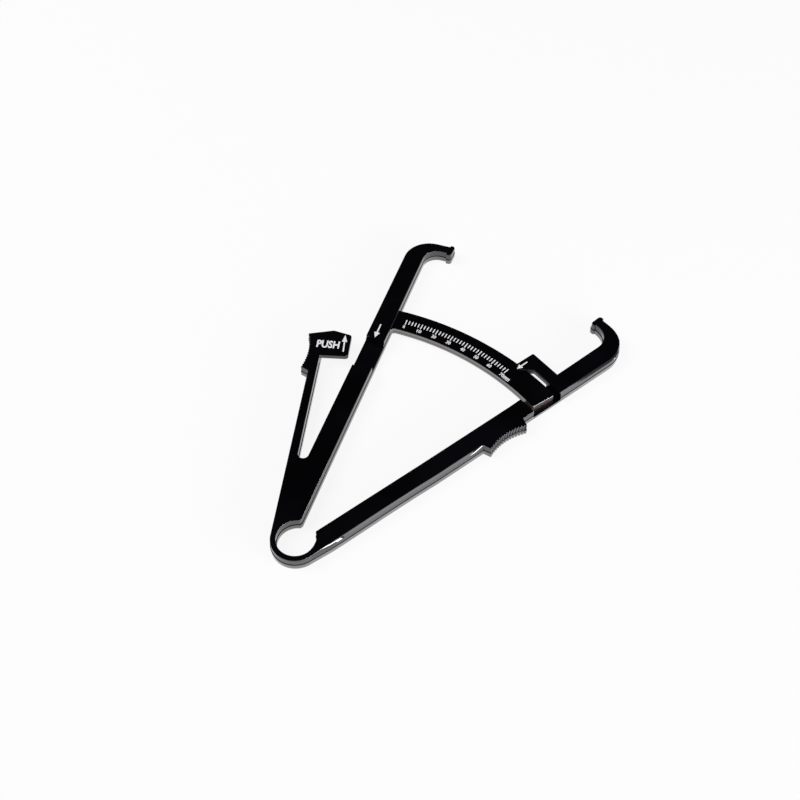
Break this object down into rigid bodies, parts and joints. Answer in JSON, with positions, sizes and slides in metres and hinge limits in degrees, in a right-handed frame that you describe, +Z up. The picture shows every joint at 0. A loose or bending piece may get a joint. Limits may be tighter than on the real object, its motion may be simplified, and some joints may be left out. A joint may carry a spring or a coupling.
{
  "type": "skinfold caliper",
  "caption": "Flat plastic skinfold caliper: two sprung jaw arms on a thin ring, a curved millimetre scale bar with a pointer, and a thumb press lever.",
  "frame": {"origin": "middle of the footprint on the table: bottom centre of the bounding box at rest, jaws open", "axes": "+Z up off the table, +Y along the line that halves the angle between the arms, from the ring to the jaws, +X to the right arm with the pointer"},
  "size_m": [0.1086, 0.1655, 0.0052],
  "materials": {
    "left_arm": "glossy",
    "scale_bar": "glossy",
    "hinge_ring": "glossy",
    "press_leaf": "glossy",
    "press_block": "glossy",
    "right_arm": "glossy",
    "pointer_flag": "glossy"
  },
  "bodies": {
    "left": {"left_arm": "left_arm", "scale_bar": "scale_bar", "hinge_ring": "hinge_ring"},
    "right": {"right_arm": "right_arm", "pointer_flag": "pointer_flag"},
    "lever": {"press_leaf": "press_leaf", "press_block": "press_block"}
  },
  "joints": [
    {"name": "arm_hinge", "type": "hinge", "parent": "left", "child": "right", "pos_m": [0.0015, -0.07276, 0.0026], "axis": [0, 0, 1], "range_deg": [0, 25.9], "stiffness_Nm_per_rad": 0.4, "deforming": ["hinge_ring"]},
    {"name": "press_hinge", "type": "hinge", "parent": "left", "child": "lever", "pos_m": [-0.02236, -0.04479, 0.0026], "axis": [0, 0, -1], "range_deg": [0, 11], "stiffness_Nm_per_rad": 0.8}
  ]
}
